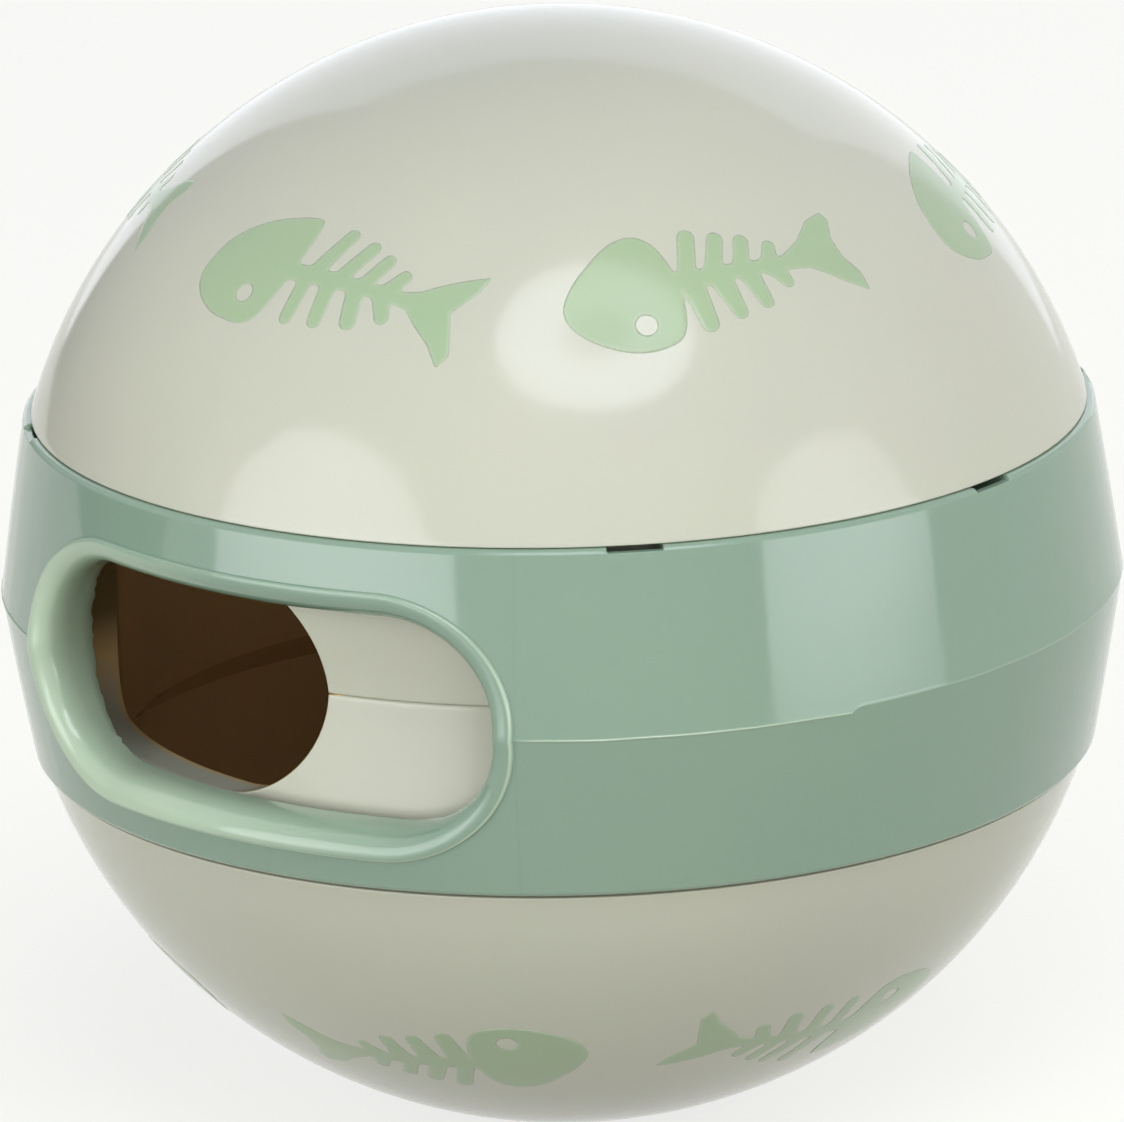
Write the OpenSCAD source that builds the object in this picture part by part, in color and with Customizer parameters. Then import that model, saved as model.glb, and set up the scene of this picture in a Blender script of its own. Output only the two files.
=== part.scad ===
// Treat dispensing ball: two identical half shells with fish inlays, and a band with a window
// that turns round their collars to open or close the treat hole.
// Origin: the ball's centre. +Z: the ball's axis. -Y: the middle of the treat hole.

/* [Domes] */
// Outer radius of each dome
dome_r = 34.5; // [32:0.5:40]
// Height of each dome's centre off the middle plane
dome_lift = 0.6; // [0:0.1:1.5]
// Wall of each dome
dome_wall = 1.8; // [1.4:0.1:2.4]
// Chamfer round the edge of each dome
dome_chamfer = 0.25; // [0.1:0.05:0.5]

/* [Shoulders and collars] */
// Height of each shoulder off the middle plane
shoulder_z = 10.8; // [10:0.2:12]
// Width of the shoulder, from the dome's edge in to the collar
shoulder_ledge = 2.55; // [2.2:0.05:3]
// Rise of the inner slope's foot above the shoulder
slope_rise = 0.6; // [0.4:0.1:1.2]
// Taper of a collar's radius, from the shoulder to the seam
collar_taper = 0.6; // [0.2:0.1:0.9]
// Wall of a collar at the seam
collar_wall = 1.8; // [1.6:0.1:2.4]

/* [Lap joint] */
// Wall of the tongue that enters the other half
tongue_wall = 0.9; // [0.7:0.05:1.1]
// Length of the tongue past the seam
tongue_reach = 5; // [3:0.5:6.5]
// Gap between the tongue and the rebate round it
lap_gap = 0.12; // [0.1:0.02:0.2]
// Gap past the tongue's tip and past each of its side edges
lap_end_gap = 0.3; // [0.2:0.05:0.6]
// Width of the snap bead on the tongue
bead_width = 1; // [0.6:0.1:1.6]
// Height of the snap bead on the tongue
bead_rise = 0.06; // [0.03:0.01:0.08]
// Distance of the snap bead from the tongue's tip
bead_inset = 1.5; // [1:0.1:2]

/* [Treat hole] */
// Length of the hole round the collars
hole_length = 29.8; // [22:0.1:34]
// Height of the hole, over both collars
hole_height = 14.8; // [13.6:0.2:16.8]

/* [Band] */
// How far the band's edges stand out from the domes' edges
band_proud = 0.45; // [0.1:0.05:0.8]
// How much the band's radius grows from its edges to its parting line
band_swell = 1.7; // [0.8:0.05:2.2]
// Share of that growth that is a straight draft, which gives the parting line its kink
band_kink = 0.88; // [0.1:0.02:1]
// Wall of the band
band_wall = 1.8; // [1.2:0.1:2.2]
// Height of the flat that blunts the corner inside the parting line
core_flat = 4; // [2:0.5:6]
// End play between the band and each shoulder
band_play = 0.15; // [0.1:0.05:0.3]
// Height of the lip at each end, which turns on the collar
lip_height = 1.5; // [1:0.1:2]
// Gap between each lip and the collar
lip_gap = 0.3; // [0.2:0.05:0.5]
// Chamfer on the band's outer edges
band_chamfer = 0.3; // [0.1:0.05:0.6]
// Drop of the parting line and of the window below the middle plane
parting_drop = 0.4; // [0:0.1:0.8]

/* [Window] */
// Turn of the band, from the hole to the window's middle
window_turn = 21.8; // [-180:0.2:180]
// Length of the window's clear opening
window_length = 33; // [24:0.5:36]
// Height of the window's clear opening
window_height = 13; // [9:0.2:13.4]
// Width of the rolled rim round the opening
rim_width = 1.9; // [1.5:0.1:2.1]
// Rise of the rim's outer edge above the band
rim_rise = 0.25; // [0.1:0.05:0.6]
// Depth over which the rim rolls in from its outer edge
roll_depth = 2.6; // [1.8:0.1:3.4]
// Wall that runs in from the rim to the collars
shroud_wall = 1.2; // [0.8:0.1:1.4]
// Gap between that wall and the collars
shroud_gap = 0.6; // [0.4:0.1:1]

/* [Notches] */
// Pairs of notches in the band's upper edge, one of each pair to either side of the window
notch_pairs = 3; // [1:1:3]
// Angle from the window's middle to the first notch, and from each notch to the next
notch_pitch = 44; // [40:1:50]
// Width of a notch
notch_width = 3.3; // [2:0.1:5]
// Depth of a notch
notch_depth = 0.25; // [0.2:0.05:0.8]

/* [Fish] */
// Pairs of fish on each dome
fish_pairs = 3; // [1:1:3]
// Length of a fish
fish_length = 19.7; // [16:0.1:21]
// Latitude of the fish on the dome
fish_latitude = 43; // [38:0.5:46]
// Turn from the hole to the first rising fish
rising_turn = 26.5; // [20:0.5:32]
// Turn from the hole to the first diving fish
diving_turn = 81.5; // [76:0.5:88]
// Thickness of a fish inlay
inlay_wall = 0.4; // [0.3:0.05:0.6]
// Gap under a fish inlay
inlay_bed = 0.05; // [0.02:0.01:0.1]

/* [Hidden] */
$fn = 96;
SIDES = ["upper", "lower"];
FISH = 2 * fish_pairs;

cream = "#D6D5CA";
sage = "#96B29D";
pale_green = "#B4CDAF";

// Overshoot of a cut past the face that it opens, and a length past the whole ball
over = 1;
far = 2 * dome_r;
// How far a racetrack's flats lie inside its round ends' tangents, so that they meet at a clear corner
flat_inset = 0.01;

// Radii that follow from the dome
dome_edge_r = sqrt(pow(dome_r, 2) - pow(shoulder_z - dome_lift, 2));
collar_top_r = dome_edge_r - shoulder_ledge;
collar_seam_r = collar_top_r - collar_taper;
bore_r = collar_seam_r - collar_wall;
tongue_r = bore_r + tongue_wall;
rebate_r = tongue_r + lap_gap;
rebate_depth = tongue_reach + lap_end_gap;
bead_z = tongue_reach - bead_inset;

// Sizes of the band
band_half = shoulder_z - band_play;
band_edge_r = dome_edge_r + band_proud;
band_mid_r = band_edge_r + band_swell;
lip_r = collar_top_r + lip_gap;
shroud_r = collar_top_r + shroud_gap;
profile_steps = 2;
rim_steps = 4;

// Angle from one pair of fish to the next
fish_pitch = 360 / fish_pairs;
curve_steps = 3;
tip_steps = 6;

// Outlines of the rising fish, head to the left: a point is [along, up] in millimetres
rising_head = [[-10.2, 0.2], [-9.4, 2], [-8.2, 3.1], [-6.6, 3.8], [-5, 4.15], [-3.4, 4.3], [-2.5, 4.1],
    [-2.5, 3], [-2.9, 1.3], [-3.3, -0.1], [-3.9, -1.5], [-4.7, -2.75], [-5.7, -3.15], [-7, -2.9],
    [-8.3, -2.4], [-9.6, -1.3]];
rising_eye = [-6.1, -1.15, 0.58];
rising_tail = [[4.5, 0.1], [5.9, 0.5], [7, 1.2], [8.3, 1.9], [9.5, 2.45], [9.2, 1.4], [8.6, 0.5],
    [8, -0.4], [8.4, -1.6], [8.8, -3], [8.3, -3.9], [7.4, -2.7], [6.1, -1.6], [5.3, -0.8], [4.5, -0.6]];
// Bones, the spine first: [root along, root up, tip along, tip up, root width, tip width]
rising_bones = [[-3.2, 0.5, 5, -0.25, 1.1, 0.7],
    [-1.5, 0.6, 0, 3.35, 1.1, 0.85], [0.3, 0.3, 1.75, 2.7, 1, 0.85],
    [2, 0, 3.1, 2.05, 1, 0.8], [3.7, 0, 4.5, 1.2, 1, 0.8],
    [-1.9, 0.3, -2.35, -2.55, 1, 0.85], [-0.2, 0, -0.3, -2.55, 1.1, 0.9],
    [1.7, -0.2, 1.95, -2.3, 1.1, 1], [3.5, -0.3, 4, -1.65, 1.1, 0.85]];

// Outlines of the diving fish, head to the left
diving_head = [[-9.75, 0.3], [-8.9, 1.6], [-7.7, 2.7], [-6.2, 3.75], [-4.9, 4.1], [-4, 3.8], [-3.3, 2.9],
    [-2.8, 1.2], [-2.7, -0.3], [-2.9, -2], [-3.5, -3.1], [-4.7, -3.5], [-5.9, -3.5], [-7.2, -3.1],
    [-8.6, -2.2], [-9.6, -1]];
diving_eye = [-5.35, -1.85, 0.65];
diving_tail = [[4.3, 1.3], [5.9, 2.5], [7, 3.9], [8.2, 4.5], [8.6, 4], [8.3, 2.6], [8.7, 1.3], [9.6, 0.3],
    [9.9, -0.9], [8.4, -0.4], [7.2, 0.2], [6.2, 0.6], [4.9, 0.6], [4.3, 0.7]];
diving_bones = [[-3, 0.5, 4.9, 1.05, 1.1, 0.7],
    [-2.1, 0.6, -1.25, 3.45, 1.1, 1], [-0.4, 0.6, 0.5, 3.05, 1.1, 0.95],
    [1.5, 0.7, 2.1, 2.7, 1, 0.9], [3.4, 0.8, 3.8, 2.2, 1, 0.8],
    [-1.9, 0.4, -1.5, -2.45, 1.5, 1.05], [0, 0.4, 0.6, -1.95, 1.5, 0.9],
    [1.9, 0.5, 2.5, -1.45, 1.3, 0.85], [3.6, 0.9, 4.3, -0.25, 1.3, 0.75]];

// Length of the rising fish as it is drawn here, from which both are scaled
fish_drawn = max([for (p = rising_tail) p[0]]) - min([for (p = rising_head) p[0]]);

// A point at share t of the curve from b to c, which leaves b and reaches c in line with their neighbours
function on_curve(a, b, c, d, t) = b + t / 2 * (c - a) + pow(t, 2) * (a - 2.5 * b + 2 * c - d / 2)
    + pow(t, 3) / 2 * (3 * b - a - 3 * c + d);

// A closed outline's points with a smooth curve between them
function smooth(p) = let (n = len(p)) [for (i = [0:n - 1], s = [0:curve_steps - 1])
    on_curve(p[(i + n - 1) % n], p[i], p[(i + 1) % n], p[(i + 2) % n], s / curve_steps)];

// Outline of a bone: a bar of tapering width between two points, with a half-round tip
function bone(b) = let (run = [b[2] - b[0], b[3] - b[1]], along = run / norm(run), side = [-along[1], along[0]])
    concat([[b[0], b[1]] - side * b[4] / 2, [b[0], b[1]] + side * b[4] / 2],
        [for (i = [0:tip_steps]) let (a = 90 - 180 * i / tip_steps)
            [b[2], b[3]] + (along * cos(a) + side * sin(a)) * b[5] / 2]);

// Radius of the band's outside at a height: largest at the parting line, equal at both edges
function band_r(z) = let (above = z + parting_drop,
    span = above > 0 ? band_half + parting_drop : band_half - parting_drop,
    share = abs(above) / span)
    band_mid_r - band_swell * (band_kink * share + (1 - band_kink) * pow(share, 2));

// Heights of the band's outline points between two levels, the parting line among them
function band_levels(low, high) = concat(
    [for (i = [0:profile_steps - 1]) low + (-parting_drop - low) * i / profile_steps],
    [for (i = [0:profile_steps]) -parting_drop + (high + parting_drop) * i / profile_steps]);

// Outline of a racetrack: a bar with half-round ends
module racetrack(length, height) {
    square([length - height, height - 2 * flat_inset], center = true);
    for (side = [-1, 1]) translate([side * (length - height) / 2, 0]) circle(d = height);
}

// Ring between two radii and two heights
module ring(inner_r, outer_r, low, high) {
    rotate_extrude() translate([inner_r, low]) square([outer_r - inner_r, high - low]);
}

// Block that holds everything with x over the given value
module right_of(x) {
    translate([x, -far / 2, -far / 2]) cube([far, far, far]);
}

// Block that holds everything with x under the given value
module left_of(x) {
    translate([x - far, -far / 2, -far / 2]) cube([far, far, far]);
}

// Outline of a fish skeleton, with a hole for its eye
module fish_outline(head, eye, bones, tail) {
    scale(fish_length / fish_drawn) difference() {
        union() {
            polygon(smooth(head));
            polygon(tail);
            for (b = bones) polygon(bone(b));
        }
        translate([eye[0], eye[1]]) circle(r = eye[2]);
    }
}

// Fish number i of the upper dome as a bar that points out of the dome: odd ones rise, even ones dive
module fish_bar(i) {
    rising = i % 2 == 1;
    turn = (rising ? rising_turn : diving_turn) + fish_pitch * floor((i - 1) / 2);
    translate([0, 0, dome_lift]) rotate([90 - fish_latitude, 0, turn])
        translate([0, 0, dome_r / 2]) linear_extrude(dome_r) {
            if (rising) fish_outline(rising_head, rising_eye, rising_bones, rising_tail);
            else fish_outline(diving_head, diving_eye, diving_bones, diving_tail);
        }
}

// Fish number i of the upper dome between two radii of the dome
module fish_plate(i, inner_r, outer_r) {
    intersection() {
        fish_bar(i);
        translate([0, 0, dome_lift]) difference() {
            sphere(r = outer_r);
            sphere(r = inner_r);
        }
    }
}

// Cross-section of the upper half shell: dome, shoulder and collar
module shell_section() {
    slope_z = shoulder_z + slope_rise;
    difference() {
        union() {
            intersection() {
                translate([0, dome_lift]) circle(r = dome_r);
                translate([0, shoulder_z]) square(far);
            }
            polygon([[0, 0], [collar_seam_r, 0], [collar_top_r, shoulder_z],
                [collar_top_r, shoulder_z + over], [0, shoulder_z + over]]);
        }
        translate([0, -over]) square([bore_r, slope_z + over]);
        intersection() {
            translate([0, dome_lift]) circle(r = dome_r - dome_wall);
            polygon([[0, slope_z], [bore_r, slope_z], [bore_r + far, slope_z + far], [0, slope_z + far]]);
        }
        polygon([[dome_edge_r - dome_chamfer, shoulder_z], [dome_edge_r - dome_chamfer, shoulder_z - over],
            [dome_edge_r + over, shoulder_z - over], [dome_edge_r + over, shoulder_z + dome_chamfer + over]]);
    }
}

// Treat hole through the front of both collars
module treat_hole() {
    rotate([90, 0, 0]) linear_extrude(far) racetrack(hole_length, hole_height);
}

// Snap bead round a tongue: a low ridge of three flats, made taller or wider for its groove by a margin
module bead_ring(radius, z, margin) {
    half = bead_width / 2 + margin;
    top = bead_rise + margin;
    rotate_extrude() polygon([[radius - top, z - half], [radius, z - half], [radius + top, z - half / 2],
        [radius + top, z + half / 2], [radius, z + half], [radius - top, z + half]]);
}

// Half-round tongue below the seam, on the side of +X, which enters the other half
module tongue() {
    intersection() {
        union() {
            ring(bore_r, tongue_r, -tongue_reach, over);
            bead_ring(tongue_r, -bead_z, 0);
        }
        right_of(lap_end_gap);
    }
}

// Space above the seam, on the side of -X, for the other half's tongue
module rebate() {
    intersection() {
        union() {
            ring(bore_r - over, rebate_r, -over, rebate_depth);
            bead_ring(rebate_r, bead_z, bead_rise);
        }
        left_of(0);
    }
}

// The moulding that both halves share, as the upper one
module half_shell() {
    difference() {
        union() {
            rotate_extrude() shell_section();
            tongue();
        }
        rebate();
        treat_hole();
        for (i = [1:FISH]) fish_plate(i, dome_r - inlay_wall - inlay_bed, dome_r + over);
    }
}

module upper_shell() {
    color(cream) half_shell();
}

module lower_shell() {
    color(cream) rotate([0, 180, 0]) half_shell();
}

// Fish inlay number i of the upper dome, flush with it
module fish_inlay(i) {
    fish_plate(i, dome_r - inlay_wall, dome_r);
}

module upper_fish(i) {
    color(pale_green) fish_inlay(i);
}

module lower_fish(i) {
    color(pale_green) rotate([0, 180, 0]) fish_inlay(i);
}

// Solid of the band's outside, grown by a rise
module band_form(rise) {
    rotate_extrude() polygon(concat([[0, -band_half]],
        [for (z = band_levels(-band_half, band_half)) [band_r(z) + rise, z]], [[0, band_half]]));
}

// The band's wall and its two lips
module band_ring() {
    inner = band_half - lip_height;
    rotate_extrude() difference() {
        polygon(concat([[lip_r, -band_half], [band_edge_r - band_chamfer, -band_half]],
            [for (z = band_levels(band_chamfer - band_half, band_half - band_chamfer)) [band_r(z), z]],
            [[band_edge_r - band_chamfer, band_half], [lip_r, band_half]]));
        polygon(concat([[0, -inner]],
            [for (z = [-inner, -parting_drop - core_flat / 2, core_flat / 2 - parting_drop, inner])
                [band_r(z) - band_wall, z]], [[0, inner]]));
    }
}

// Bar with the window's outline, grown by a margin, through the band on the window's side
module window_bar(margin) {
    rotate([0, 0, window_turn]) translate([0, 0, -parting_drop]) rotate([90, 0, 0])
        linear_extrude(far) racetrack(window_length + 2 * margin, window_height + 2 * margin);
}

// Height of the rolled rim above the band at a distance from the opening: a quarter of an ellipse
function rim_height(d) = rim_rise - roll_depth * (1 - sqrt(1 - pow(1 - d / rim_width, 2)));

// Raised ground round the window, out of which the rim is rolled
module rim_ground() {
    intersection() {
        window_bar(rim_width);
        difference() {
            band_form(rim_rise);
            band_form(-band_wall / 2);
        }
    }
}

// What the rolled rim leaves open, in steps
module rim_roll() {
    step = rim_width / (rim_steps + 1);
    for (i = [1:rim_steps]) difference() {
        window_bar(step * i);
        band_form(rim_height(step * (i - 0.5)));
    }
}

// Wall that runs in from the rim to just clear of the collars
module shroud() {
    intersection() {
        window_bar(shroud_wall);
        difference() {
            band_form(-band_wall / 2);
            cylinder(r = shroud_r, h = far, center = true);
        }
    }
}

// Notches across the band's upper edge, in pairs to both sides of the window
module notches() {
    for (i = [1:notch_pairs], side = [-1, 1]) rotate([0, 0, window_turn + side * notch_pitch * i])
        translate([-notch_width / 2, -far, band_half - notch_depth])
            cube([notch_width, far, notch_depth + over]);
}

module adjusting_band() {
    color(sage) difference() {
        union() {
            band_ring();
            shroud();
            rim_ground();
        }
        window_bar(0);
        rim_roll();
        notches();
    }
}

upper_shell();
lower_shell();
adjusting_band();
for (i = [1:FISH]) {
    upper_fish(i);
    lower_fish(i);
}
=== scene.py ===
# %% [markdown]
# # A treat dispensing ball from numpy surfaces
# The ball is made of three snapped mouldings: two equal half shells and a band that turns round their
# collars. Twelve fish skeletons are moulded into the domes in a second colour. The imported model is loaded
# first. Every surface below is laid over it, in the same place and at the same size.

# %% Load the frame
import math

import bmesh
import bpy
import numpy as np
from mathutils import Matrix, Vector


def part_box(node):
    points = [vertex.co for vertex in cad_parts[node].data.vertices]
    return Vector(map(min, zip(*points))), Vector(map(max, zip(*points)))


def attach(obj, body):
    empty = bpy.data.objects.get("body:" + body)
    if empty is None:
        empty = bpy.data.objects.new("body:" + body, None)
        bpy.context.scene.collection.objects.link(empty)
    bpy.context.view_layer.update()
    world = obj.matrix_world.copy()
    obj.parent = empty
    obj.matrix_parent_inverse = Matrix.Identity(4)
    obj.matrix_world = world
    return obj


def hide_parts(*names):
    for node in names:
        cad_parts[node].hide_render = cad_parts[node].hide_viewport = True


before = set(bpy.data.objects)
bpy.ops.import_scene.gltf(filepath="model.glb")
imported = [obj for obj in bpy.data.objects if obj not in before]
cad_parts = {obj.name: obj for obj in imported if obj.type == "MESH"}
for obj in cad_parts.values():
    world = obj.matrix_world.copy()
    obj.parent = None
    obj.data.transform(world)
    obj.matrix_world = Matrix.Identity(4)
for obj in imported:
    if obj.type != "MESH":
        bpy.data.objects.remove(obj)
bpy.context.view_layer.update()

# %% [markdown]
# ## Sizes
# All lengths are millimetres, as on the ball's drawing, and MM turns them into Blender's metres.
# The ball's centre is the origin, its axis is Z, and the treat hole faces -Y.

# %% Sizes of the mouldings, in millimetres
MM = 0.001
DOME_R = 34.5
DOME_LIFT = 0.6
DOME_WALL = 1.8
SHOULDER_Z = 10.8
SHOULDER_LEDGE = 2.55
SLOPE_RISE = 0.6
COLLAR_TAPER = 0.6
COLLAR_WALL = 1.8
TONGUE_WALL = 0.9
TONGUE_REACH = 5
LAP_GAP = 0.12
LAP_END_GAP = 0.3
BEAD_WIDTH = 1
BEAD_RISE = 0.06
BEAD_INSET = 1.5
HOLE_LENGTH = 29.8
HOLE_HEIGHT = 14.8
BAND_PROUD = 0.45
BAND_SWELL = 1.7
BAND_KINK = 0.88
BAND_WALL = 1.8
BAND_PLAY = 0.15
LIP_HEIGHT = 1.5
LIP_GAP = 0.3
PARTING_DROP = 0.4
WINDOW_TURN = 21.8
WINDOW_LENGTH = 33
WINDOW_HEIGHT = 13
RIM_WIDTH = 1.9
RIM_RISE = 0.25
ROLL_DEPTH = 2.6
SHROUD_WALL = 1.2
SHROUD_GAP = 0.6
NOTCH_PAIRS = 3
NOTCH_PITCH = 44
NOTCH_WIDTH = 3.3
NOTCH_DEPTH = 0.25
FISH_PAIRS = 3
FISH_LATITUDE = 43
RISING_TURN = 26.5
DIVING_TURN = 81.5
INLAY_WALL = 0.4

DOME_EDGE_R = math.sqrt(DOME_R ** 2 - (SHOULDER_Z - DOME_LIFT) ** 2)
COLLAR_TOP_R = DOME_EDGE_R - SHOULDER_LEDGE
COLLAR_SEAM_R = COLLAR_TOP_R - COLLAR_TAPER
BORE_R = COLLAR_SEAM_R - COLLAR_WALL
TONGUE_R = BORE_R + TONGUE_WALL
REBATE_R = TONGUE_R + LAP_GAP
REBATE_DEPTH = TONGUE_REACH + LAP_END_GAP
BAND_HALF = SHOULDER_Z - BAND_PLAY
BAND_MID_R = DOME_EDGE_R + BAND_PROUD + BAND_SWELL
LIP_R = COLLAR_TOP_R + LIP_GAP
SHROUD_R = COLLAR_TOP_R + SHROUD_GAP

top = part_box("upper_shell")[1].z / MM
print(f"dome top: {DOME_R + DOME_LIFT:.2f} mm here, {top:.2f} mm in the packed model")

# %% [markdown]
# ## From arrays to a mesh
# A surface is an array of points with one row for each step along its outline and one column for each
# step round the ball. Neighbouring points become four-sided faces. Rows that end in a pole hold one point
# many times, and merging the doubles turns those faces into triangles and sews the surfaces to each
# other.

# %% Helpers that make a mesh from arrays
MERGE = 0.002 * MM
SHARP_ANGLE = math.radians(38)


def grid_faces(rows, columns, wrap):
    """Four corners of each cell of a grid, numbered row by row; wrap joins the last column to the
    first."""
    row = np.arange(rows - 1)[:, None]
    column = np.arange(columns if wrap else columns - 1)[None, :]
    after = (column + 1) % columns
    corners = [row * columns + column, row * columns + after,
               (row + 1) * columns + after, (row + 1) * columns + column]
    return np.stack(corners, axis=-1).reshape(-1, 4)


def make_piece(name, parts, material):
    """One object from parts: each is (points in mm, faces, tint), where tint is a value from 0 to 2 for
    each point, which the finish reads. Doubles are merged, faces point outwards, and edges sharper than
    an angle stay crisp."""
    points = np.concatenate([part[0] for part in parts]) * MM
    offsets = np.cumsum([0] + [len(part[0]) for part in parts])
    faces = [[int(start + corner) for corner in face]
             for part, start in zip(parts, offsets) for face in part[1]]
    tint = np.concatenate([np.broadcast_to(part[2], len(part[0])) for part in parts])
    mesh = bpy.data.meshes.new(name)
    mesh.from_pydata(points.tolist(), [], faces)
    mesh.attributes.new("tint", "FLOAT", "POINT").data.foreach_set("value", tint.astype(np.float32))
    work = bmesh.new()
    work.from_mesh(mesh)
    bmesh.ops.remove_doubles(work, verts=work.verts, dist=MERGE)
    bmesh.ops.dissolve_degenerate(work, edges=work.edges, dist=MERGE)
    bmesh.ops.recalc_face_normals(work, faces=work.faces)
    open_edges = sum(1 for edge in work.edges if not edge.is_manifold)
    work.to_mesh(mesh)
    work.free()
    mesh.shade_smooth()
    mesh.set_sharp_from_angle(angle=SHARP_ANGLE)
    mesh.materials.append(material)
    piece = bpy.data.objects.new(name, mesh)
    bpy.context.scene.collection.objects.link(piece)
    print(f"{name}: {len(mesh.vertices)} points, {len(mesh.polygons)} faces, {open_edges} open edges")
    return piece


def rounded(corners, steps=4):
    """An outline of (r, z) points from corners (r, z, radius): each corner with a radius is cut back by
    that much along both of its sides, and a curve that leaves one side and meets the other in line with
    it joins the two cuts."""
    outline = []
    for k, (r, z, radius) in enumerate(corners):
        here = np.array([r, z])
        if radius == 0:
            outline.append(here)
            continue
        before = np.array(corners[k - 1][:2]) - here
        after = np.array(corners[k + 1][:2]) - here
        start = here + before / np.linalg.norm(before) * radius
        end = here + after / np.linalg.norm(after) * radius
        for s in np.linspace(0, 1, steps + 1):
            outline.append((1 - s) ** 2 * start + 2 * s * (1 - s) * here + s ** 2 * end)
    return np.array(outline)


def place(turn, r, z):
    """Points at a turn round the axis, from -Y towards +X, at a radius and a height."""
    turn, r, z = np.broadcast_arrays(turn, r, z)
    return np.stack([r * np.sin(turn), -r * np.cos(turn), z], axis=-1)


# %% [markdown]
# ## Finishes
# All three plastics are glossy injection mouldings. What makes such a plastic look real is small: the
# colour drifts by a few percent, light seeps a millimetre into it, the gloss wavers a little, and dust
# specks sit in it. The patterns are noise on Object coordinates, so they are part of the piece and turn
# with it.

# %% Finishes of the plastics
CREAM = (0.515, 0.515, 0.412)
# The brown that the inside of the shells is painted: painted shade, not the plastic's own colour.
CREAM_INSIDE_PAINTED_SHADE = (0.72, 0.5, 0.23)
# Darker still, at both ends of the hole: painted shadow.
CREAM_PAINTED_SHADOW = (0.2, 0.135, 0.055)
SAGE = (0.212, 0.315, 0.23)
# A paler sage: along the flash lines, and as painted light on the window's roll.
SAGE_FLASH_AND_PAINTED_LIGHT = (0.44, 0.555, 0.4)
PALE_GREEN = (0.345, 0.45, 0.275)
NOISE_LOW, NOISE_HIGH = 0.3, 0.7


def feed(tree, value, socket):
    """Feeds a socket: it is linked to another socket, or set to a plain number or colour."""
    if isinstance(value, bpy.types.NodeSocket):
        tree.links.new(value, socket)
    else:
        socket.default_value = (*value, 1) if isinstance(value, tuple) else value


def add(tree, kind, **sockets):
    """A node of a kind, with its input sockets fed by name."""
    node = tree.nodes.new(kind)
    for socket, value in sockets.items():
        feed(tree, value, node.inputs[socket.replace("_", " ")])
    return node


def maths(tree, operation, first, second):
    """The result of a sum with two numbers, where each is a socket or a plain number."""
    node = tree.nodes.new("ShaderNodeMath")
    node.operation = operation
    feed(tree, first, node.inputs[0])
    feed(tree, second, node.inputs[1])
    return node.outputs[0]


def noise(tree, where, scale, detail, low, high):
    """Noise on a place, stretched to run from low to high."""
    cloud = add(tree, "ShaderNodeTexNoise", Vector=where, Scale=scale, Detail=detail)
    spread = add(tree, "ShaderNodeMapRange", Value=cloud.outputs["Fac"], From_Min=NOISE_LOW,
                 From_Max=NOISE_HIGH, To_Min=low, To_Max=high)
    return spread.outputs["Result"]


def mixed(tree, factor, first, second, blend="MIX"):
    """A blend of two colours, where each is a socket or a plain colour."""
    mix = tree.nodes.new("ShaderNodeMix")
    mix.data_type = "RGBA"
    mix.blend_type = blend
    for socket, value in (("Factor", factor), ("A", first), ("B", second)):
        feed(tree, value, mix.inputs[socket])
    return mix.outputs["Result"]


# %% Dust specks
SPECK_COLOUR = (0.22, 0.19, 0.13)
SPECK_CELLS = 150
SPECK_CORE, SPECK_REACH = 0.008, 0.03


def specked(tree, where, base, rate):
    """The colour with dark specks of dust: one in the middle of some of the cells that space is divided
    into."""
    cells = add(tree, "ShaderNodeTexVoronoi", Vector=where, Scale=SPECK_CELLS, Randomness=1)
    spot = add(tree, "ShaderNodeMapRange", Value=cells.outputs["Distance"], From_Min=SPECK_CORE,
               From_Max=SPECK_REACH, To_Min=1, To_Max=0)
    draw = add(tree, "ShaderNodeSeparateColor", Color=cells.outputs["Color"]).outputs["Red"]
    chosen = maths(tree, "MULTIPLY", maths(tree, "LESS_THAN", draw, rate), spot.outputs["Result"])
    return mixed(tree, chosen, base, SPECK_COLOUR)


# %% The plastic
COLOUR_PATCHES = (("Red", 38), ("Green", 41), ("Blue", 29))
GLOSS_PATCHES = 160
GLOSS_RANGE = (0.75, 1.3)
WAVES, WAVE_HEIGHT, WAVE_STRENGTH = 75, 0.12, 0.35
GRAINS, GRAIN_HEIGHT, GRAIN_STRENGTH = 1500, 0.03, 0.05
SEEP_COLOUR = (1.0, 0.85, 0.6)


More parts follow.
